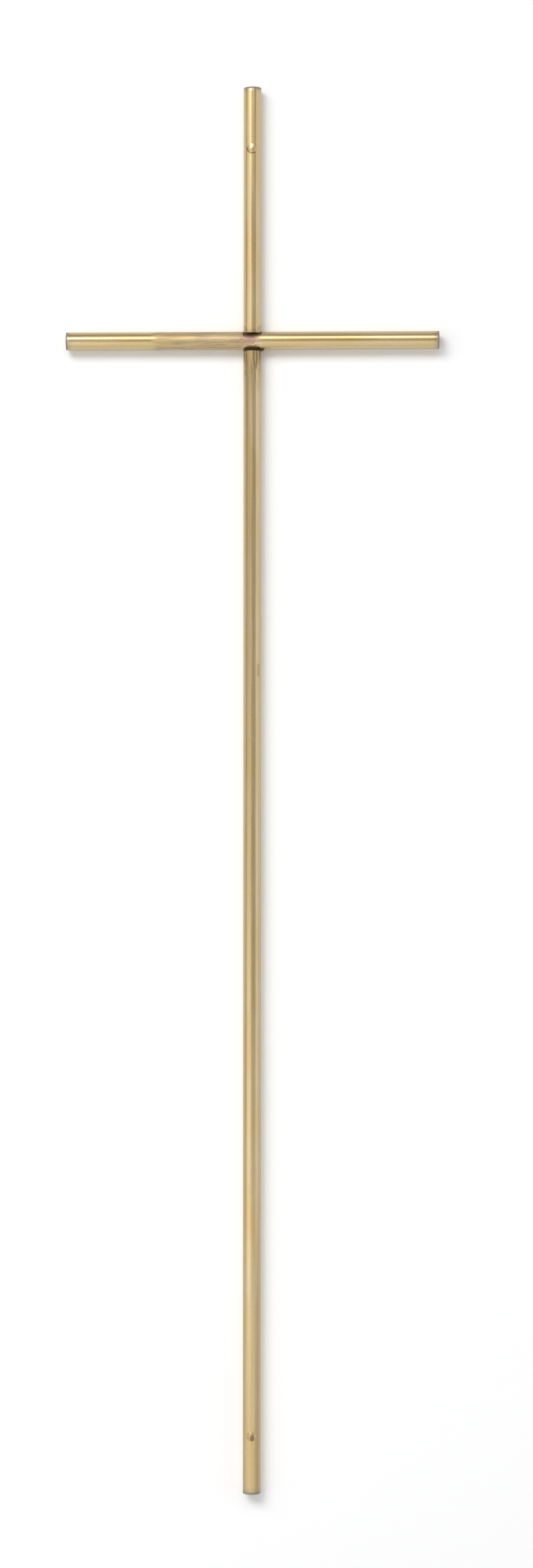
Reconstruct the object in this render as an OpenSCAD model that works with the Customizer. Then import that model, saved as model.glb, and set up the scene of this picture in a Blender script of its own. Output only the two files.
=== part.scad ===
// Slender grave cross of two round brass rods, halved together at the crossing.
// Two shouldered pins are riveted through the upright and stand out behind it as studs,
// which are set in holes drilled in the stone.
// Millimetres. +Z is up, +X is to the right, and the front faces -Y. The stone's face is the
// plane Y = 0. The origin is where the axis of the lower stud meets that plane.

/* [Rods] */
// Diameter of the round rod that the upright and the crossbar are cut from
rod_d = 10; // [8:0.5:14]
// Length of the upright from foot to top
upright_len = 790; // [500:5:1000]
// Length of the crossbar from end to end
crossbar_len = 210; // [120:5:320]
// Distance from the top of the upright down to the axis of the crossbar
crossbar_drop = 142; // [80:1:200]
// Width of the chamfer filed round each cut end
end_chamfer = 0.4; // [0.2:0.1:0.8]

/* [Halved joint] */
// How much higher the notch in the upright is than the rod's diameter
notch_slack = 0.1; // [0:0.05:0.5]
// How far the middle of that notch lies below the axis of the crossbar
notch_offset = 1.1; // [0:0.1:2]
// Gap on each side between the upright and the slot in the back of the crossbar
slot_gap = 0.1; // [0.05:0.05:0.3]

/* [Fixing pins] */
// Distance from the top of the upright down to the axis of the upper pin
upper_pin_drop = 34.5; // [20:0.5:60]
// Distance from the foot of the upright up to the axis of the lower pin
lower_pin_rise = 32.5; // [20:0.5:60]
// Diameter of the shank that passes through the upright
shank_d = 4; // [3:0.25:4.5]
// Diameter of the riveted head at the front
head_d = 5.2; // [5:0.1:6]
// Depth of the head's seat below the front of the rod
head_seat = 1.2; // [1:0.1:1.6]
// Depth of the rim of the head below the front of the rod
head_rim = 0.4; // [0.2:0.1:0.8]
// How far the crown of the head stands in front of the rod
head_crown = 0.4; // [0.2:0.1:0.8]
// Diameter of the stud that stands out behind the upright
stud_d = 6; // [4:0.5:6]
// Length of the stud behind the back of the rod
stud_len = 30; // [15:1:60]
// Width of the chamfer at the tip of the stud
stud_chamfer = 0.5; // [0.2:0.1:1]
// Diameter of the collar between the stud and the shank
collar_d = 7; // [6.5:0.1:7.5]
// Thickness of that collar, which lies flush in the back of the rod
collar_t = 1.5; // [1:0.1:2]
// Radial clearance round the shank, the head and the collar
pin_gap = 0.05; // [0.02:0.01:0.1]

/* [Hidden] */

$fn = 96;
rod_r = rod_d / 2;
axis_y = -rod_r;
front_y = -rod_d;
foot_z = -lower_pin_rise;
top_z = foot_z + upright_len;
crossbar_z = top_z - crossbar_drop;
upper_pin_z = top_z - upper_pin_drop;
notch_h = rod_d + notch_slack;
notch_top_z = crossbar_z - notch_offset + notch_h / 2;
notch_foot_z = notch_top_z - notch_h;
slot_w = rod_d + 2 * slot_gap;
// How far a cutting solid runs past the surface that it cuts
past = 1;

// Rod that stands on the XY plane, with a chamfer round each end
module cut_rod(length) {
    rotate_extrude()
        polygon([
            [0, 0],
            [rod_r - end_chamfer, 0],
            [rod_r, end_chamfer],
            [rod_r, length - end_chamfer],
            [rod_r - end_chamfer, length],
            [0, length]
        ]);
}

// Cylinder whose axis runs back along +Y, from y to y + depth
module drill(d, y, depth) {
    translate([0, y, 0])
        rotate([-90, 0, 0])
            cylinder(d = d, h = depth);
}

// Stepped hole through the upright for one pin
module pin_hole() {
    drill(shank_d + 2 * pin_gap, front_y - past, rod_d + 2 * past);
    drill(head_d + 2 * pin_gap, front_y - past, head_seat + past);
    drill(collar_d + 2 * pin_gap, -collar_t, collar_t + past);
}

// Upright, with the crossbar's notch in its front and a hole for each pin
module upright() {
    color("goldenrod")
        difference() {
            translate([0, axis_y, foot_z])
                cut_rod(upright_len);
            translate([-rod_r - past, front_y - past, notch_foot_z])
                cube([rod_d + 2 * past, rod_r + past, notch_h]);
            pin_hole();
            translate([0, 0, upper_pin_z])
                pin_hole();
        }
}

// Crossbar. Its back half is slotted for the upright, and its top is filed flat there,
// down to the upper shoulder of the notch.
module crossbar() {
    color("gold")
        difference() {
            translate([-crossbar_len / 2, axis_y, crossbar_z])
                rotate([0, 90, 0])
                    cut_rod(crossbar_len);
            translate([-slot_w / 2, axis_y, crossbar_z - rod_r - past])
                cube([slot_w, rod_r + past, rod_d + 2 * past]);
            translate([-slot_w / 2, front_y - past, notch_top_z])
                cube([slot_w, rod_d + 2 * past, rod_d]);
        }
}

// Domed end of a pin: a slice of a ball, from the rim forward to the crown
module head_dome() {
    rise = head_rim + head_crown;
    ball_r = (pow(head_d / 2, 2) + pow(rise, 2)) / (2 * rise);
    intersection() {
        drill(head_d, front_y - head_crown, rise);
        translate([0, front_y - head_crown + ball_r, 0])
            sphere(r = ball_r);
    }
}

// One fixing pin, from the riveted head at the front to the tip of the stud
module pin() {
    straight_len = stud_len - stud_chamfer;
    head_dome();
    drill(head_d, front_y + head_rim, head_seat - head_rim);
    drill(shank_d, front_y + head_seat, rod_d - head_seat - collar_t);
    drill(collar_d, -collar_t, collar_t);
    drill(stud_d, 0, straight_len);
    translate([0, straight_len, 0])
        rotate([-90, 0, 0])
            cylinder(d1 = stud_d, d2 = stud_d - 2 * stud_chamfer, h = stud_chamfer);
}

module lower_pin() {
    color("darkgoldenrod")
        pin();
}

module upper_pin() {
    color("darkgoldenrod")
        translate([0, 0, upper_pin_z])
            pin();
}

upright();
crossbar();
upper_pin();
lower_pin();
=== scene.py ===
"""Looks of the brass grave cross: two halved round rods, held off the stone by two riveted pins.

Metres, in the part's own frame: +Z is up, +X is to the right and the front faces -Y. The origin
is where the axis of the lower stud meets the stone's face, Y = 0.
"""

import math

import bmesh
import bpy
from mathutils import Matrix, Vector, noise


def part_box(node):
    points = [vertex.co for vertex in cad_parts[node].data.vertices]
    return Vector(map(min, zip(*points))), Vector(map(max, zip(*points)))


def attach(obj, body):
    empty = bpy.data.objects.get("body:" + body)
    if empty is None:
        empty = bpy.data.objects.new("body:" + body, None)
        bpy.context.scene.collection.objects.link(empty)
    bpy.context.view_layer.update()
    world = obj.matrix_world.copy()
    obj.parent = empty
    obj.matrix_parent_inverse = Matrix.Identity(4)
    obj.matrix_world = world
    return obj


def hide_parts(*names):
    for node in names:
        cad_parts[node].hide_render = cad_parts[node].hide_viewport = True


MM = 0.001

# Sizes of the joint and the pins that no node's box gives
NOTCH_H = 10.1 * MM
NOTCH_DROP = 1.1 * MM
SLOT_W = 10.2 * MM
END_ROUND = 0.4 * MM
HEAD_R = 2.6 * MM
HEAD_RIM = 0.4 * MM
HEAD_SEAT = 1.2 * MM
SHANK_R = 2.0 * MM
COLLAR_T = 1.5 * MM
STUD_R = 3.0 * MM
STUD_CHAMFER = 0.5 * MM
GROOVE = 0.25 * MM
GROOVE_PITCH = 3 * MM
GROOVE_COUNT = 8
PIN_GAP = 0.03 * MM

# Mesh density, and how far a cutter runs past the surface that it cuts
ROD_SEGMENTS = 128
PIN_SEGMENTS = 72
CROWN_STEPS = 16
EDGE_STEPS = 4
RING_STEP = 2.5 * MM
FINE_STEP = 0.5 * MM
WELD = 0.001 * MM
PAST = 1 * MM

# Wear: how deep the rods waver, the file's marks on their ends, and the bumps on the pins' heads
WAVER = 0.012 * MM
WAVER_AROUND = 2.2 * MM
WAVER_ALONG = 40 * MM
FILE_MARK = 0.05 * MM
FILE_GRAIN = 1.6 * MM
HEAD_BUMP = 0.03 * MM
HEAD_GRAIN = 1.1 * MM

# The scrape on the right of the upright: its height, the turn from the front, and its size
SCRAPE_Z = 430 * MM
SCRAPE_TURN = math.radians(66)
SCRAPE_HALF = 4.0 * MM
SCRAPE_DEPTH = 0.16 * MM

# The bead of solder, which also stands in for the deep shade in that corner: its middle, from the
# upright's right side and the crossbar's underside
BEAD_OUT = 0.7 * MM
BEAD_Y = -5.6 * MM
BEAD_DROP = 0.15 * MM
BEAD_RADII = (1.0 * MM, 1.3 * MM, 0.75 * MM)
BEAD_LUMP = 0.25

# Marks and painted shade on the upright, as (lowest, highest) x, or heights from the crossbar's
# axis
# Soot round the joint, partly a painted shade of the groove where the rods meet
SOOT_AND_SHADE_REACH = (-3.0 * MM, 3.75 * MM)
HAZE_REACH = (0.0, 3.8 * MM)
HAZE_BOW = 2.4 * MM
STREAKS_FULL = -14 * MM
STREAKS_END = -34 * MM
BROWN_SIDE = (-2.8 * MM, -0.9 * MM)
BROWN_FULL = -60 * MM
# x of the painted shade beside the scrape
SCRAPE_SHADE_SIDE = (3.0 * MM, 4.1 * MM)
# x of a painted dark stripe of reflection, right of the axis
PAINTED_DARK_STRIPE = (2.3 * MM, 3.7 * MM)

# The arc of painted shade round the upper pin: its nearest and farthest from the pin's axis
PIN_SHADE_RING = (2.5 * MM, 3.0 * MM)

# Heights above the upright's foot where the brown side starts, and where the painted dark stripe
# fades
BROWN_START = 200 * MM
PAINTED_DARK_STRIPE_FADE = (70 * MM, 210 * MM)

# Marks on the crossbar, as (lowest, highest) x or height from its axis. The heat mark's middle and
# half size are x and height. The lower edge of the soot and painted shade at the joint rises by
# its bow times x squared
DULL_STRETCH = (-52 * MM, -8 * MM)
HEAT_MIDDLE = (-1.6 * MM, 0.6 * MM)
HEAT_HALF = (6.6 * MM, 4.6 * MM)
SPOT_ACROSS = (0.8 * MM, 4.6 * MM)
SPOT_UP = (-3.0 * MM, -2.0 * MM)
# Reach of the soot and painted shade on the crossbar next to the upright
SOOT_AND_SHADE_ACROSS = (-5.1 * MM, 5.1 * MM)
SOOT_AND_SHADE_FADE = (0.5 * MM, 3.1 * MM)
SOOT_AND_SHADE_BOW = 0.035 / MM
SOOT_AND_SHADE_COVER = 0.93

# The painted shade on the lower right of the lower pin's head: its middle from the pin's axis, and
# its half width and height
DOME_SHADE_X = 0.45 * MM
DOME_SHADE_DROP = 0.8 * MM
DOME_SHADE_HALF = (1.4 * MM, 2.0 * MM)

# Depths between which the notch's foot, bare and painted lighter at its front edge, turns to scale
BARE_AND_LIT_FADE = (-9.9 * MM, -7.2 * MM)

# Camera: level, a little to the right of the cross and turned back towards it
CAMERA_GAP = 1.7150
CAMERA_X = 66.2 * MM
CAMERA_Z = 366.2 * MM
CAMERA_TURN = math.radians(1.94)
CAMERA_ROLL = math.radians(-0.04)
VIEW_HEIGHT = 0.8812
SENSOR = 36.0

# Wall and floor. Each fades out to the camera between two distances from the cross. CONTACT is
# how close to the wall a ray may start and still pass through it
WALL_GAP = 0.2 * MM
BACKDROP_SIZE = 7.0
FLOOR_Z = -0.16
WALL_FADE = (0.7, 2.0)
FLOOR_FADE = (0.3, 1.4)
CONTACT = 5 * MM
BACKDROP_WHITE = 0.50
LIFT_HEIGHTS = (-0.25, 0.85)
BACKDROP_LIFT_HIGH = 0.86
BACKDROP_LIFT_LOW = 1.16
WALL_IN_METAL = 0.60
FLOOR_IN_METAL = 0.85

# Light from all round: on what it lights, as the metal reflects it, and as the camera sees it
WORLD_LEVEL = 0.24
WORLD_IN_METAL = 0.42
WORLD_SEEN = 1.0


def rgb(red, green, blue):
    return (red, green, blue, 1.0)


BRIGHT = rgb(0.70, 0.52, 0.245)
PALE = rgb(0.74, 0.58, 0.33)
# Paler colour for the rods' flanks: a painted sheen
SIDE_SHEEN = rgb(0.68, 0.56, 0.36)
BROWN = rgb(0.36, 0.25, 0.115)
DULL = rgb(0.38, 0.30, 0.19)
UMBER = rgb(0.16, 0.10, 0.045)
GREY_END = rgb(0.46, 0.41, 0.285)
DARK_END = rgb(0.40, 0.34, 0.215)
HEAT_PINK = rgb(0.51, 0.325, 0.25)
CREAM = rgb(0.80, 0.68, 0.50)
# Near-black of soot that is partly a painted shade in the joint's groove, also the bead's dark
SOOT_AND_SHADE = rgb(0.100, 0.045, 0.014)
OXIDE = rgb(0.11, 0.075, 0.032)
OXIDE_LIGHT = rgb(0.26, 0.19, 0.095)
WHITE = rgb(1, 1, 1)


class Graph:
    """Short calls that build the nodes of one material."""

    def __init__(self, name):
        self.material = bpy.data.materials.new(name)
        self.material.use_nodes = True
        self.nodes = self.material.node_tree.nodes
        self.links = self.material.node_tree.links
        self.nodes.clear()

    def feed(self, node, key, value):
        """Gives an input of the node a link, if value is a socket, or else a plain value."""
        if isinstance(value, bpy.types.NodeSocket):
            self.links.new(value, node.inputs[key])
        else:
            node.inputs[key].default_value = value

    def add(self, kind, inputs=(), **settings):
        """A node with these settings, and with a value or a link at each given input."""
        node = self.nodes.new("ShaderNode" + kind)
        for name, value in settings.items():
            setattr(node, name, value)
        for key, value in dict(inputs).items():
            self.feed(node, key, value)
        return node

    def math(self, operation, a, b=0.0, c=0.0):
        return self.add("Math", {0: a, 1: b, 2: c}, operation=operation).outputs[0]

    def times(self, a, b):
        return self.math("MULTIPLY", a, b)

    def minus(self, a, b):
        return self.math("SUBTRACT", a, b)

    def raised(self, start, value, factor):
        """start, with factor times value added."""
        return self.math("MULTIPLY_ADD", value, factor, start)

    def ramp(self, value, low, high, to_low=0.0, to_high=1.0):
        """Smooth step from to_low, where value is low, to to_high, where it is high."""
        inputs = {
            "Value": value, "From Min": low, "From Max": high, "To Min": to_low, "To Max": to_high,
        }
        return self.add("MapRange", inputs, interpolation_type="SMOOTHSTEP").outputs[0]

    def band(self, value, reach, soft):
        """1 where value is within reach, a (low, high) pair, and 0 beyond a soft edge."""
        low, high = reach
        rise = self.ramp(value, low - soft, low)
        fall = self.ramp(value, high, high + soft, 1.0, 0.0)
        return self.times(rise, fall)

    def noise(self, place, grain, detail=3.0, roughness=0.5):
        """Noise of about 0.5 whose features measure grain, in metres, along X, Y and Z."""
        scale = Vector(1 / size for size in grain)
        mapped = self.add("Mapping", {"Vector": place, "Scale": scale}).outputs[0]
        inputs = {"Vector": mapped, "Scale": 1.0, "Detail": detail, "Roughness": roughness}
        return self.add("TexNoise", inputs).outputs["Fac"]

    def mix(self, factor, a, b):
        """Colour a where factor is 0 and colour b where it is 1."""
        node = self.add("Mix", data_type="RGBA")
        for key, value in ((0, factor), (6, a), (7, b)):
            self.feed(node, key, value)
        return node.outputs[2]

    def place(self):
        """The point that is shaded, in the part's own frame."""
        return self.add("TexCoord").outputs["Object"]

    def axes(self, vector):
        return self.add("SeparateXYZ", {0: vector}).outputs

    def facing(self):
        """How far the surface faces along X, Y and Z."""
        return self.axes(self.add("TexCoord").outputs["Normal"])

    def length(self, vector):
        return self.add("VectorMath", {0: vector}, operation="LENGTH").outputs["Value"]

    def distance(self, a, b):
        """Length of the flat vector (a, b)."""
        return self.length(self.add("CombineXYZ", {0: a, 1: b}).outputs[0])

    def finish(self, shader):
        self.links.new(shader, self.add("OutputMaterial").inputs["Surface"])
        return self.material


def drawn_brass(name, grain, stains):
    """Satin brass with draw lines along the rod.

    grain is true for the axis that the lines run along, and stains adds what is local.
    """
    graph = Graph(name)
    place = graph.place()

    def stretched(across, along):
        return [along if axis else across for axis in grain]

    streaks = graph.noise(place, stretched(0.9 * MM, 60 * MM), 4.0, 0.6)
    lines = graph.noise(place, stretched(0.22 * MM, 18 * MM), 3.0, 0.6)
    blotches = graph.noise(place, stretched(7 * MM, 45 * MM), 4.0, 0.55)
    specks = graph.noise(place, stretched(0.5 * MM, 1.2 * MM), 2.0, 0.5)

    colour = graph.mix(graph.ramp(blotches, 0.35, 0.68), BRIGHT, PALE)
    # Painted sheen: the flanks, which face sideways, are painted paler than the front
    to_front = graph.math("ABSOLUTE", graph.facing()[1])
    colour = graph.mix(graph.ramp(to_front, 0.45, 0.85, 0.6, 0.0), colour, SIDE_SHEEN)
    colour = graph.mix(graph.ramp(streaks, 0.60, 0.80, 0.0, 0.35), colour, BROWN)
    rough = graph.ramp(streaks, 0.30, 0.70, 0.20, 0.30)
    rough = graph.math("ADD", rough, graph.ramp(specks, 0.62, 0.80, 0.0, 0.10))
    colour, rough = stains(graph, place, streaks, colour, rough)

    relief = graph.raised(streaks, lines, 0.25)
    bump = graph.add("Bump", {"Height": relief, "Strength": 0.35, "Distance": 0.05 * MM})
    shader = graph.add("BsdfPrincipled", {
        "Base Color": colour,
        "Metallic": 1.0,
        "Roughness": rough,
        "Normal": bump.outputs[0],
        "Coat Weight": 0.4,
        "Coat Roughness": 0.25,
    })
    return graph.finish(shader.outputs[0])


def grey_end(graph, distance, colour, rough):
    """A cut end: grey and matt at its edge, fading into the brass a few millimetres in."""
    fade = graph.ramp(distance, 0.4 * MM, 4.5 * MM, 0.75, 0.0)
    colour = graph.mix(fade, colour, GREY_END)
    edge = graph.minus(1.0, graph.ramp(distance, 0.6 * MM, 1.6 * MM))
    colour = graph.mix(edge, colour, DARK_END)
    return colour, graph.raised(rough, edge, 0.5)


def haze_mask(graph, x, up, ragged):
    """Brown haze that fades upwards from the joint, higher at the rod's sides."""
    side = graph.ramp(graph.math("ABSOLUTE", x), 2.0 * MM, 4.6 * MM, 0.0, HAZE_BOW)
    hazy = graph.raised(graph.minus(up, side), ragged, -2.4 * MM)
    return graph.times(graph.band(hazy, HAZE_REACH, 1.8 * MM), 0.45)


def streak_mask(graph, place, up, under):
    """Dark streaks down from the joint. under is 1 below the joint and 0 above it."""
    fine = graph.noise(place, (0.9 * MM, 0.9 * MM, 12 * MM), 5.0, 0.65)
    zone = graph.times(graph.ramp(up, STREAKS_END, STREAKS_FULL), under)
    return graph.times(zone, graph.ramp(fine, 0.46, 0.60, 0.05, 0.75))


def pin_shade_mask(graph, x, drop, front):
    """Arc of painted shade at the lower left of a pin's head. drop is the height from the pin's
    axis.
    """
    ring = graph.times(graph.band(graph.distance(x, drop), PIN_SHADE_RING, 0.35 * MM), front)
    lean = graph.raised(graph.times(x, -0.5), drop, -0.85)
    return graph.times(ring, graph.ramp(lean, 0.4 * MM, 1.6 * MM, 0.0, 0.85))


def upright_stains(joint_z, foot_z, top_z, pin_z):
    """Stains and painted shade of the upright, whose crossbar is at joint_z and whose upper pin is
    at pin_z.

    Greyed ends, soot and haze above the joint, the soot partly a painted shade of the groove, dark
    streaks and a brown side below it, a painted shade along the scrape, a painted dark stripe of
    reflection up from the foot, and a painted shade in an arc round the upper pin.
    """
    axis_y = axis_depth("upright")

    def add(graph, place, streaks, colour, rough):
        x, y, z = graph.axes(place)
        front = graph.math("LESS_THAN", y, axis_y)
        up = graph.minus(z, joint_z)
        from_foot = graph.minus(z, foot_z)
        nearest = graph.math("MINIMUM", graph.minus(top_z, z), from_foot)
        colour, rough = grey_end(graph, nearest, colour, rough)

        ragged = graph.noise(place, (1.5 * MM, 1.5 * MM, 1.1 * MM), 3.0)
        colour = graph.mix(haze_mask(graph, x, up, ragged), colour, BROWN)
        # Soot just above the notch, partly a painted shade of the groove between the rods
        soot_and_shade_mask = graph.band(graph.raised(up, ragged, -0.5 * MM), SOOT_AND_SHADE_REACH, 0.3 * MM)
        colour = graph.mix(graph.times(soot_and_shade_mask, SOOT_AND_SHADE_COVER), colour, SOOT_AND_SHADE)
        under = graph.ramp(up, -4 * MM, 0.0, 1.0, 0.0)
        marks = streak_mask(graph, place, up, under)
        colour = graph.mix(marks, colour, UMBER)

        side = graph.times(graph.band(x, BROWN_SIDE, 0.6 * MM), front)
        high = graph.ramp(z, foot_z + BROWN_START, joint_z + BROWN_FULL, 0.0, 0.85)
        brown = graph.times(side, graph.times(high, under))
        brown = graph.times(brown, graph.ramp(streaks, 0.30, 0.65, 0.65, 1.0))
        colour = graph.mix(brown, colour, BROWN)

        # Painted shade along the scrape's left edge
        scrape_reach = (SCRAPE_Z - 0.8 * SCRAPE_HALF, SCRAPE_Z + 0.8 * SCRAPE_HALF)
        scrape_shade = graph.times(graph.band(x, SCRAPE_SHADE_SIDE, 0.3 * MM), front)
        scrape_shade = graph.times(scrape_shade, graph.band(z, scrape_reach, 0.5 * MM))
        colour = graph.mix(graph.times(scrape_shade, 0.45), colour, BROWN)

        # Painted dark reflection: a dark stripe right of the axis that fades up from the foot
        line = graph.times(graph.band(x, PAINTED_DARK_STRIPE, 0.5 * MM), front)
        line = graph.times(line, graph.ramp(from_foot, *PAINTED_DARK_STRIPE_FADE, 0.5, 0.0))
        colour = graph.mix(line, colour, BROWN)

        # Painted shade in an arc at the lower left of the upper pin's head
        pin_shade = pin_shade_mask(graph, x, graph.minus(z, pin_z), front)
        colour = graph.mix(pin_shade, colour, UMBER)
        rough = graph.raised(rough, marks, 0.15)
        return colour, graph.raised(rough, soot_and_shade_mask, 0.25)

    return add


def crossbar_stains(axis_z, half_length):
    """Stains of the crossbar: greyed ends, a dull streaked stretch, and marks of heat and of soot
    that is partly painted shade.
    """

    def add(graph, place, _streaks, colour, rough):
        x, _, z = graph.axes(place)
        up = graph.minus(z, axis_z)
        from_end = graph.minus(half_length, graph.math("ABSOLUTE", x))
        colour, rough = grey_end(graph, from_end, colour, rough)

        fine = graph.noise(place, (16 * MM, 1.0 * MM, 1.0 * MM), 5.0, 0.65)
        zone = graph.band(x, DULL_STRETCH, 6 * MM)
        marks = graph.times(zone, graph.ramp(fine, 0.42, 0.62, 0.15, 0.75))
        colour = graph.mix(marks, colour, DULL)
        rough = graph.raised(rough, zone, 0.30)

        ragged = graph.noise(place, (2.4 * MM, 2.4 * MM, 1.2 * MM), 4.0, 0.6)
        across = graph.math("DIVIDE", graph.minus(x, HEAT_MIDDLE[0]), HEAT_HALF[0])
        along = graph.math("DIVIDE", graph.minus(up, HEAT_MIDDLE[1]), HEAT_HALF[1])
        edge = graph.raised(graph.distance(across, along), ragged, 1.6)
        heat = graph.ramp(edge, 1.0, 2.05, 1.0, 0.0)
        colour = graph.mix(graph.times(heat, 0.95), colour, HEAT_PINK)
        rough = graph.raised(rough, heat, 0.38)

        spot = graph.band(up, SPOT_UP, 0.7 * MM)
        spot = graph.times(spot, graph.band(x, SPOT_ACROSS, 1.0 * MM))
        spot = graph.times(spot, graph.ramp(ragged, 0.35, 0.55))
        colour = graph.mix(spot, colour, CREAM)

        # Soot on the crossbar's top beside the upright, partly a painted shade and dark reflection
        # of the groove, arched like that reflection
        bow = graph.times(graph.times(x, x), SOOT_AND_SHADE_BOW)
        bar_soot_and_shade = graph.ramp(graph.raised(graph.minus(up, bow), ragged, 0.8 * MM), *SOOT_AND_SHADE_FADE)
        bar_soot_and_shade = graph.times(bar_soot_and_shade, graph.band(x, SOOT_AND_SHADE_ACROSS, 0.5 * MM))
        colour = graph.mix(graph.times(bar_soot_and_shade, SOOT_AND_SHADE_COVER), colour, SOOT_AND_SHADE)
        return colour, graph.raised(rough, bar_soot_and_shade, 0.3)

    return add


def pin_stains(dome_shade_z):
    """A pin is duller than a rod, and dark in its creases. The lower one has a painted shade on
    its head, at the height it is given.
    """

    def add(graph, place, _streaks, colour, rough):
        x, _, z = graph.axes(place)
        crease = graph.noise(place, (1.2 * MM, 1.2 * MM, 1.2 * MM), 3.0)
        shade = graph.ramp(crease, 0.48, 0.72, 0.0, 0.35)
        # Painted shade on the lower right of the lower pin's head
        across = graph.math("DIVIDE", graph.minus(x, DOME_SHADE_X), DOME_SHADE_HALF[0])
        along = graph.math("DIVIDE", graph.minus(z, dome_shade_z), DOME_SHADE_HALF[1])
        far = graph.raised(graph.distance(across, along), crease, 0.6)
        shade = graph.math("MAXIMUM", shade, graph.ramp(far, 0.8, 1.6, 0.7, 0.0))
        rough = graph.raised(graph.math("ADD", rough, 0.12), shade, 0.15)
        return graph.mix(shade, colour, UMBER), rough

    return add


def oxide_material(name, dark, light, bare_and_lit_share):
    """Dull scale in the joint, round the pins and on the solder.

    Faces that look up near the front of the cross are painted as bright bare brass, partly as
    painted light in the joint, by the share given.
    """
    graph = Graph(name)
    place = graph.place()
    patches = graph.noise(place, (0.6 * MM, 0.6 * MM, 0.6 * MM), 4.0)
    colour = graph.mix(graph.ramp(patches, 0.4, 0.7), dark, light)
    # Painted light: faces that look up near the front are painted as bright bare brass
    bare_and_lit = graph.ramp(graph.axes(place)[1], *BARE_AND_LIT_FADE, bare_and_lit_share, 0.0)
    bare_and_lit = graph.times(bare_and_lit, graph.ramp(graph.facing()[2], 0.5, 0.9))
    colour = graph.mix(bare_and_lit, colour, BRIGHT)
    bump = graph.add("Bump", {"Height": patches, "Strength": 0.5, "Distance": 0.1 * MM})
    shader = graph.add("BsdfPrincipled", {
        "Base Color": colour, "Metallic": 0.0, "Roughness": 0.6, "Normal": bump.outputs[0],
    })
    return graph.finish(shader.outputs[0])


def backdrop_material(name, in_metal, is_wall):
    """White paint that the camera sees as white, and the metal as the level in_metal.

    Wall and floor fade out to the camera, and the wall is clear from behind and where it is close
    to the rods.
    """
    graph = Graph(name)
    path = graph.add("LightPath").outputs
    place = graph.place()
    lift = graph.ramp(graph.axes(place)[2], *LIFT_HEIGHTS, BACKDROP_LIFT_LOW, BACKDROP_LIFT_HIGH)
    seen = graph.math("MAXIMUM", path["Is Camera Ray"], path["Is Transmission Ray"])
    lift = graph.raised(graph.times(seen, lift), path["Is Glossy Ray"], in_metal)
    white = graph.math("ADD", lift, BACKDROP_WHITE)
    paint = graph.add("BsdfDiffuse", {"Color": white}).outputs[0]

    away = {0: place, 1: (0, 0, CAMERA_Z)}
    away = graph.add("VectorMath", away, operation="SUBTRACT").outputs[0]
    flat = {0: away, 1: (1, 1, 1 if is_wall else 0)}
    far = graph.length(graph.add("VectorMath", flat, operation="MULTIPLY").outputs[0])
    fade = graph.ramp(far, *(WALL_FADE if is_wall else FLOOR_FADE))
    clear = graph.times(path["Is Camera Ray"], fade)
    if is_wall:
        touching = graph.math("LESS_THAN", path["Ray Length"], CONTACT)
        behind = graph.add("NewGeometry").outputs["Backfacing"]
        clear = graph.math("MAXIMUM", clear, graph.math("MAXIMUM", behind, touching))
    glass = graph.add("BsdfTransparent").outputs[0]
    return graph.finish(graph.add("MixShader", {0: clear, 1: paint, 2: glass}).outputs[0])


def new_piece(name, mesh, materials):
    piece = bpy.data.objects.new(name, mesh)
    bpy.context.scene.collection.objects.link(piece)
    for material in materials:
        mesh.materials.append(material)
    return piece


def finished_mesh(name, build):
    mesh = bpy.data.meshes.new(name)
    build.to_mesh(mesh)
    build.free()
    return mesh


def turned_mesh(name, profile, segments, matrix, cut):
    """Closed mesh turned round local Z from (height, radius) points, pole to pole, then placed.

    cut(height, turn, radius) gives each point's own height and radius.
    """
    build = bmesh.new()
    rings = []
    for height, radius in profile:
        if radius == 0:
            rings.append([build.verts.new((0, 0, height))])
            continue
        ring = []
        for step in range(segments):
            turn = 2 * math.pi * step / segments
            own_z, own_r = cut(height, turn, radius)
            point = (own_r * math.sin(turn), -own_r * math.cos(turn), own_z)
            ring.append(build.verts.new(point))
        rings.append(ring)
    for low, high in zip(rings, rings[1:]):
        for step in range(segments):
            after = (step + 1) % segments
            if len(low) == 1:
                build.faces.new((low[0], high[after], high[step]))
            elif len(high) == 1:
                build.faces.new((low[step], low[after], high[0]))
            else:
                build.faces.new((low[step], low[after], high[after], high[step]))
    build.transform(matrix)
    bmesh.ops.recalc_face_normals(build, faces=build.faces)
    return finished_mesh(name, build)


def prism_cutter(outline, x_low, x_high, material):
    """Closed prism along X over an outline of (y, z) points."""
    build = bmesh.new()
    ends = [[build.verts.new((x, y, z)) for y, z in outline] for x in (x_low, x_high)]
    for end in ends:
        build.faces.new(end)
    for step in range(len(outline)):
        after = (step + 1) % len(outline)
        build.faces.new((ends[0][step], ends[0][after], ends[1][after], ends[1][step]))
    bmesh.ops.recalc_face_normals(build, faces=build.faces)
    return new_piece("cutter", finished_mesh("cutter", build), [material])


def as_drawn(height, _turn, radius):
    """The cut of turned_mesh that leaves every point in its place."""
    return height, radius


def pin_matrix(z):
    """Lays local Z, which a pin and its hole are turned round, along +Y at height z."""
    return Matrix.Translation((0, 0, z)) @ Matrix.Rotation(-math.pi / 2, 4, "X")


def stepped_drill(front, back, collar_r, z, material):
    """Cutter for one pin's hole: the head's seat in front, the shank, and the collar's seat."""
    steps = [
        (front - PAST, front + HEAD_SEAT, HEAD_R),
        (front + HEAD_SEAT, back - COLLAR_T, SHANK_R),
        (back - COLLAR_T, back + PAST, collar_r),
    ]
    profile = [(steps[0][0], 0)]
    for start, end, radius in steps:
        profile += [(start, radius + PIN_GAP), (end, radius + PIN_GAP)]
    profile.append((steps[-1][1], 0))
    mesh = turned_mesh("cutter", profile, PIN_SEGMENTS, pin_matrix(z), as_drawn)
    return new_piece("cutter", mesh, [material])


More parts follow.
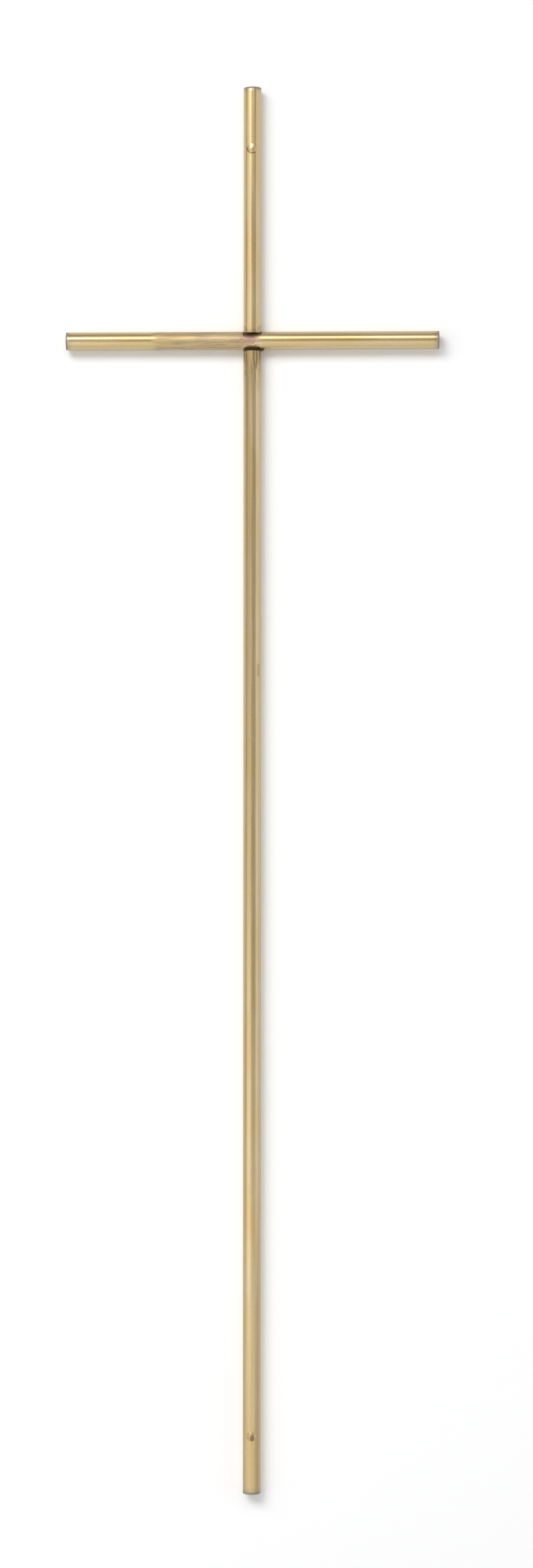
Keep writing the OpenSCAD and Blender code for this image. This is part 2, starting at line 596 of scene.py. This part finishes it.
def carve(piece, cutters):
    """Cuts the cutters out of the piece. The new faces take the cutters' material."""
    for cutter in cutters:
        modifier = piece.modifiers.new("cut", "BOOLEAN")
        modifier.operation = "DIFFERENCE"
        modifier.solver = "EXACT"
        modifier.material_mode = "TRANSFER"
        modifier.object = cutter
    ready = piece.evaluated_get(bpy.context.evaluated_depsgraph_get())
    uncut = piece.data
    piece.data = bpy.data.meshes.new_from_object(ready)
    piece.modifiers.clear()
    bpy.data.meshes.remove(uncut)
    weld(piece.data)
    for cutter in cutters:
        bpy.data.objects.remove(cutter)


def weld(mesh):
    """Joins points closer than WELD, and drops the slivers that leaves."""
    build = bmesh.new()
    build.from_mesh(mesh)
    bmesh.ops.remove_doubles(build, verts=build.verts, dist=WELD)
    bmesh.ops.dissolve_degenerate(build, edges=build.edges, dist=WELD)
    build.to_mesh(mesh)
    build.free()


def soften(piece, angle):
    """Smooth shading, but for edges sharper than angle, in degrees."""
    piece.data.shade_smooth()
    piece.data.set_sharp_from_angle(angle=math.radians(angle))


def rod_profile(length, radius, fine_spots):
    """(height, radius) points of a cut rod: flat ends with a rounded edge, and even rings.

    Rings are closer at fine_spots, which are (height, half length) pairs.
    """
    face = [(0, radius * share) for share in (0, 0.3, 0.6, 0.85)]
    edge = []
    for step in range(EDGE_STEPS + 1):
        turn = math.pi / 2 * step / EDGE_STEPS
        rise = END_ROUND * (1 - math.cos(turn))
        edge.append((rise, radius - END_ROUND * (1 - math.sin(turn))))
    heights = set()
    count = round((length - 2 * END_ROUND) / RING_STEP)
    for step in range(1, count):
        heights.add(END_ROUND + (length - 2 * END_ROUND) * step / count)
    for spot, half in fine_spots:
        steps = round(2 * half / FINE_STEP)
        heights.update(spot - half + 2 * half * step / steps for step in range(steps + 1))
    middle = [(height, radius) for height in sorted(heights)]
    start = face + edge
    finish = [(length - height, size) for height, size in reversed(start)]
    return start + middle + finish


def worn_rod(length, radius, seed, scrape_height=None):
    """How a real rod leaves the true cylinder: filed end faces, a slight waver, and a scrape."""

    def cut(height, turn, size):
        around = Vector((size * math.sin(turn), -size * math.cos(turn), 0))
        spot = around / WAVER_AROUND + Vector((seed, 0, height / WAVER_ALONG))
        own = size - WAVER * (1 + noise.noise(spot)) * size / radius
        edge = min(height, length - height)
        if edge < END_ROUND:
            spot = around / FILE_GRAIN + Vector((seed, 5, height * 9))
            mark = FILE_MARK * (1 + noise.noise(spot))
            height += mark if height < length / 2 else -mark
        if scrape_height:
            share = 1 - ((height - scrape_height) / SCRAPE_HALF) ** 2
            lean = math.cos(turn - SCRAPE_TURN)
            if share > 0 and lean > 0.5:
                own = min(own, (radius - SCRAPE_DEPTH * share) / lean)
        return height, own

    return cut


def joint_height():
    low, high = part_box("crossbar")
    return (low.z + high.z) / 2


def axis_depth(rod):
    """Y of the axis of the upright or the crossbar."""
    low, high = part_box(rod)
    return (low.y + high.y) / 2


def notch_top():
    return joint_height() - NOTCH_DROP + NOTCH_H / 2


def make_upright(brass, oxide, pin_places):
    low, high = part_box("upright")
    radius = (high.x - low.x) / 2
    length = high.z - low.z
    axis = Vector(((high.x + low.x) / 2, axis_depth("upright"), low.z))
    scrape_height = SCRAPE_Z - low.z
    profile = rod_profile(length, radius, [(scrape_height, 1.4 * SCRAPE_HALF)])
    cut = worn_rod(length, radius, 0.0, scrape_height)
    mesh = turned_mesh("upright_rod", profile, ROD_SEGMENTS, Matrix.Translation(axis), cut)
    piece = new_piece("upright_rod", mesh, [brass, oxide])

    top = notch_top()
    foot = top - NOTCH_H
    notch = [(low.y - PAST, foot), (axis.y, foot), (axis.y, top), (low.y - PAST, top)]
    cutters = [prism_cutter(notch, low.x - PAST, high.x + PAST, oxide)]
    pin_low, pin_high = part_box("lower_pin")
    for z in pin_places:
        cutters.append(stepped_drill(low.y, high.y, (pin_high.x - pin_low.x) / 2, z, oxide))
    carve(piece, cutters)
    soften(piece, 28)
    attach(piece, "root")
    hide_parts("upright")


def make_crossbar(brass, oxide):
    low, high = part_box("crossbar")
    radius = (high.z - low.z) / 2
    length = high.x - low.x
    axis_y = axis_depth("crossbar")
    place = Matrix.Translation((low.x, axis_y, joint_height()))
    place = place @ Matrix.Rotation(math.pi / 2, 4, "Y")
    profile = rod_profile(length, radius, [(length / 2, 8 * MM)])
    cut = worn_rod(length, radius, 40.0)
    mesh = turned_mesh("crossbar_rod", profile, ROD_SEGMENTS, place, cut)
    piece = new_piece("crossbar_rod", mesh, [brass, oxide])

    top = notch_top()
    under, over, behind = low.z - PAST, high.z + PAST, high.y + PAST
    slot = [(axis_y, under), (behind, under), (behind, over)]
    slot += [(low.y - PAST, over), (low.y - PAST, top), (axis_y, top)]
    carve(piece, [prism_cutter(slot, -SLOT_W / 2, SLOT_W / 2, oxide)])
    soften(piece, 28)
    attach(piece, "root")
    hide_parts("crossbar")


def pin_profile(low, high):
    """(y, radius) points of a pin from the crown of its head to the tip of its stud."""
    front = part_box("upright")[0].y
    crown = low.y
    collar_r = (high.x - low.x) / 2
    rise = front + HEAD_RIM - crown
    ball_r = (HEAD_R ** 2 + rise ** 2) / (2 * rise)
    reach = math.asin(HEAD_R / ball_r)
    points = []
    for step in range(CROWN_STEPS + 1):
        turn = reach * step / CROWN_STEPS
        points.append((crown + ball_r * (1 - math.cos(turn)), ball_r * math.sin(turn)))
    seat = front + HEAD_SEAT
    points += [(seat, HEAD_R), (seat, SHANK_R), (-COLLAR_T, SHANK_R), (-COLLAR_T, collar_r)]
    points += [(0, collar_r), (0, STUD_R)]
    for groove in range(1, GROOVE_COUNT + 1):
        middle = groove * GROOVE_PITCH
        points += [(middle - GROOVE, STUD_R), (middle, STUD_R - GROOVE), (middle + GROOVE, STUD_R)]
    points += [(high.y - STUD_CHAMFER, STUD_R), (high.y, STUD_R - STUD_CHAMFER), (high.y, 0)]
    return points


def filed_head(front, rod_r, crown_y, seed):
    """The head is filed to the round face of the upright, and only its middle stands proud."""

    def cut(height, turn, radius):
        if height > front + HEAD_RIM + 0.01 * MM:
            return height, radius
        across = radius * math.sin(turn)
        proud = (front - crown_y) * (1 - (radius / HEAD_R) ** 2)
        face = front + rod_r - math.sqrt((rod_r + proud) ** 2 - across ** 2)
        spot = Vector((across, radius * math.cos(turn), 0)) / HEAD_GRAIN
        return face + HEAD_BUMP * max(0, noise.noise(spot + Vector((seed, seed, 0)))), radius

    return cut


def make_pin(name, node, material, seed):
    low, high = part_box(node)
    rod_low, rod_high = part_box("upright")
    cut = filed_head(rod_low.y, (rod_high.y - rod_low.y) / 2, low.y, seed)
    place = pin_matrix((low.z + high.z) / 2)
    mesh = turned_mesh(name, pin_profile(low, high), PIN_SEGMENTS, place, cut)
    piece = new_piece(name, mesh, [material])
    soften(piece, 35)
    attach(piece, "root")
    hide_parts(node)


def make_solder_and_shade_bead(scale):
    """Small dark bead of old solder in the corner below the crossbar, right of the upright, which
    also stands in for the deep shade there.
    """
    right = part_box("upright")[1].x
    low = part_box("crossbar")[0]
    middle = Vector((right + BEAD_OUT, BEAD_Y, low.z - BEAD_DROP))
    build = bmesh.new()
    bmesh.ops.create_icosphere(build, subdivisions=4, radius=1.0)
    for vert in build.verts:
        lump = 1 + BEAD_LUMP * noise.noise(vert.co * 1.6)
        vert.co = Vector(c * radius for c, radius in zip(vert.co, BEAD_RADII)) * lump + middle
    piece = new_piece("solder_and_shade_bead", finished_mesh("solder_and_shade_bead", build), [scale])
    piece.data.shade_smooth()
    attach(piece, "root")


def sheet(name, corners, material):
    """One face of the backdrop."""
    mesh = bpy.data.meshes.new(name)
    mesh.from_pydata(corners, [], [(0, 1, 2, 3)])
    return new_piece(name, mesh, [material])


def make_backdrop():
    half = BACKDROP_SIZE / 2
    corners = [(-half, FLOOR_Z), (half, FLOOR_Z), (half, FLOOR_Z + half), (-half, FLOOR_Z + half)]
    white = backdrop_material("wall_white", WALL_IN_METAL, True)
    sheet("wall", [(x, WALL_GAP, z) for x, z in corners], white)
    corners = [(-half, -half), (half, -half), (half, half), (-half, half)]
    white = backdrop_material("floor_white", FLOOR_IN_METAL, False)
    sheet("floor", [(x, y, FLOOR_Z) for x, y in corners], white)


def make_camera():
    data = bpy.data.cameras.new("camera")
    data.sensor_width = SENSOR
    data.lens = SENSOR * CAMERA_GAP / VIEW_HEIGHT
    camera = bpy.data.objects.new("camera", data)
    camera.location = (CAMERA_X, axis_depth("upright") - CAMERA_GAP, CAMERA_Z)
    camera.rotation_euler = (math.pi / 2, CAMERA_ROLL, CAMERA_TURN)
    bpy.context.scene.collection.objects.link(camera)
    bpy.context.scene.camera = camera


def softbox(name, centre, aim, width, height, level, colour=(1, 1, 1)):
    """Rectangular soft light whose face has the brightness level, where 1 is white."""
    data = bpy.data.lights.new(name, "AREA")
    data.shape = "RECTANGLE"
    data.size = width
    data.size_y = height
    data.energy = level * math.pi * width * height
    data.color = colour
    lamp = bpy.data.objects.new(name, data)
    lamp.location = centre
    lamp.rotation_euler = (Vector(aim) - Vector(centre)).to_track_quat("-Z", "Y").to_euler()
    lamp.visible_camera = False
    bpy.context.scene.collection.objects.link(lamp)


def make_lights():
    """A high, far light at the front left that casts the shadows, a tall key nearer the left, a
    wide light above the camera, a cool fill at the right, and a lamp behind for the back."""
    softbox("sun", (-1.6, -3.0, 2.65), (0, 0, 0.35), 2.2, 1.4, 4.4)
    softbox("key", (-1.06, -1.20, 0.40), (0, 0, 0.40), 1.75, 2.6, 0.52)
    softbox("over", (0.0, -1.75, 1.80), (0, 0, 0.6), 2.0, 1.1, 1.25)
    softbox("fill", (1.56, -0.63, 0.4), (0, 0, 0.4), 1.25, 2.2, 0.47, (0.96, 0.99, 1.12))
    softbox("back", (0.9, 1.9, 1.2), (0, 0, 0.4), 1.2, 1.2, 1.2)


def make_world():
    """Even light all round: dim for what it lights, brighter in the metal, white to the camera."""
    world = bpy.data.worlds.new("studio")
    world.use_nodes = True
    world.cycles.sampling_method = "NONE"
    tree = world.node_tree
    path = tree.nodes.new("ShaderNodeLightPath").outputs

    def mixed(flag, low, high):
        """low where the ray's flag is 0 and high where it is 1. low can be a socket."""
        level = tree.nodes.new("ShaderNodeMapRange")
        tree.links.new(flag, level.inputs["Value"])
        if isinstance(low, bpy.types.NodeSocket):
            tree.links.new(low, level.inputs["To Min"])
        else:
            level.inputs["To Min"].default_value = low
        level.inputs["To Max"].default_value = high
        return level.outputs[0]

    level = mixed(path["Is Glossy Ray"], WORLD_LEVEL, WORLD_IN_METAL)
    level = mixed(path["Is Camera Ray"], level, WORLD_SEEN)
    background = tree.nodes["Background"]
    background.inputs["Color"].default_value = WHITE
    tree.links.new(level, background.inputs["Strength"])
    bpy.context.scene.world = world


def make_cross():
    """Every piece of the object, each in the place of its CAD node, and the bead of solder that
    also stands in for the corner's shade.
    """
    low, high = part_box("upright")
    bar_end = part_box("crossbar")[1].x
    joint_z = joint_height()
    pins = ("lower_pin", "upper_pin")
    lower_z, upper_z = [(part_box(pin)[0].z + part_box(pin)[1].z) / 2 for pin in pins]
    oxide = oxide_material("joint_oxide", OXIDE, OXIDE_LIGHT, 1.0)
    # Dark scale for the bead, which also stands in for the corner's shade
    scale = oxide_material("bead_scale_and_shade", SOOT_AND_SHADE, OXIDE, 0.0)
    along_z = (False, False, True)
    along_x = (True, False, False)
    stains = upright_stains(joint_z, low.z, high.z, upper_z)
    upright_brass = drawn_brass("upright_brass", along_z, stains)
    crossbar_brass = drawn_brass("crossbar_brass", along_x, crossbar_stains(joint_z, bar_end))
    pin_brass = drawn_brass("pin_brass", along_z, pin_stains(lower_z - DOME_SHADE_DROP))
    make_upright(upright_brass, oxide, (lower_z, upper_z))
    make_crossbar(crossbar_brass, oxide)
    for seed, pin in enumerate(pins):
        make_pin(pin + "_brass", pin, pin_brass, 3.0 + 7 * seed)
    make_solder_and_shade_bead(scale)


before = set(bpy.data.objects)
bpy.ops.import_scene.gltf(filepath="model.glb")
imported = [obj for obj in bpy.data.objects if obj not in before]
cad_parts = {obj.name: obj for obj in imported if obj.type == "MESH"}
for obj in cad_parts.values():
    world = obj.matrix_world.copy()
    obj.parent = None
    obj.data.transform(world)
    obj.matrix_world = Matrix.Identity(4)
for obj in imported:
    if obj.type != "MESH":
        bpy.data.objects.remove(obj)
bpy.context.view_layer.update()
bpy.context.scene.view_settings.view_transform = "Standard"
make_camera()
make_world()
make_backdrop()
make_lights()
make_cross()
